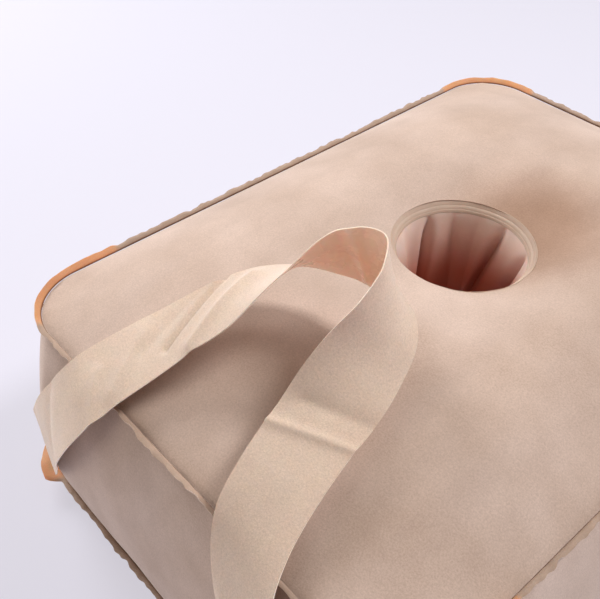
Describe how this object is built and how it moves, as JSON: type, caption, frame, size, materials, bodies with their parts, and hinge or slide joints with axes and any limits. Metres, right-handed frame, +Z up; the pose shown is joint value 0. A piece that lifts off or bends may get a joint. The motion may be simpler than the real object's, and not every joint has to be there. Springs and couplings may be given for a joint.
{
  "type": "face cradle cushion",
  "caption": "Inflatable flocked box cushion with a round face hole through its middle, a loose flat strap at one end and an air valve at the other.",
  "frame": {"origin": "middle of the overall box at its foot, on the surface that the cushion rests on; the face hole's axis is 5.4 mm from it towards -Y", "axes": "+Z up out of the face hole, +Y along the cushion from the strap's end to the valve's end, X across it"},
  "size_m": [0.4218, 0.5819, 0.2937],
  "materials": {
    "flock": "short beige flock on soft film, dry and matt with a faint sheen",
    "strap": "flocked outside, smooth glossy peach film inside",
    "weld": "heat-welded margin, thin translucent orange film with a little flock",
    "film": "bare soft pink translucent film, smooth",
    "valve": "soft milky moulded plastic"
  },
  "bodies": {
    "cushion": {"top_panel": "flock", "bottom_panel": "flock", "side_wall": "flock", "side_wall_lap": "flock", "top_weld_lip": "weld", "bottom_weld_lip": "weld", "hole_sleeve": "film", "hole_ring_top": "film", "hole_ring_bottom": "film", "strap_weld_left": "weld", "strap_weld_right": "weld", "valve_base": "valve"},
    "strap_legs": {"strap_leg_left": "strap", "strap_leg_right": "strap"},
    "strap_loop": {"strap_loop": "strap"},
    "valve_stem": {"valve_stem": "valve", "valve_tether": "valve"},
    "valve_cap": {"valve_cap": "valve"},
    "valve_flap": {"valve_flap": "film"}
  },
  "joints": [
    {"name": "strap_swing", "type": "hinge", "parent": "cushion", "child": "strap_legs", "pos_m": [0, -0.2594, 0.02], "axis": [1, 0, 0], "range_deg": [0, 55]},
    {"name": "strap_loop_lift", "type": "hinge", "parent": "strap_legs", "child": "strap_loop", "pos_m": [0, -0.2554, 0.1886], "axis": [1, 0, 0], "range_deg": [0, 90]},
    {"name": "valve_stem_slide", "type": "slide", "parent": "cushion", "child": "valve_stem", "axis": [0, -1, 0], "range_m": [0, 0.012]},
    {"name": "valve_cap_swing", "type": "hinge", "parent": "valve_stem", "child": "valve_cap", "pos_m": [0, 0.2874, 0.1148], "axis": [1, 0, 0], "range_deg": [0, 110]},
    {"name": "valve_flap_swing", "type": "hinge", "parent": "valve_stem", "child": "valve_flap", "pos_m": [0, 0.2522, 0.1065], "axis": [-1, 0, 0], "range_deg": [0, 50]}
  ]
}
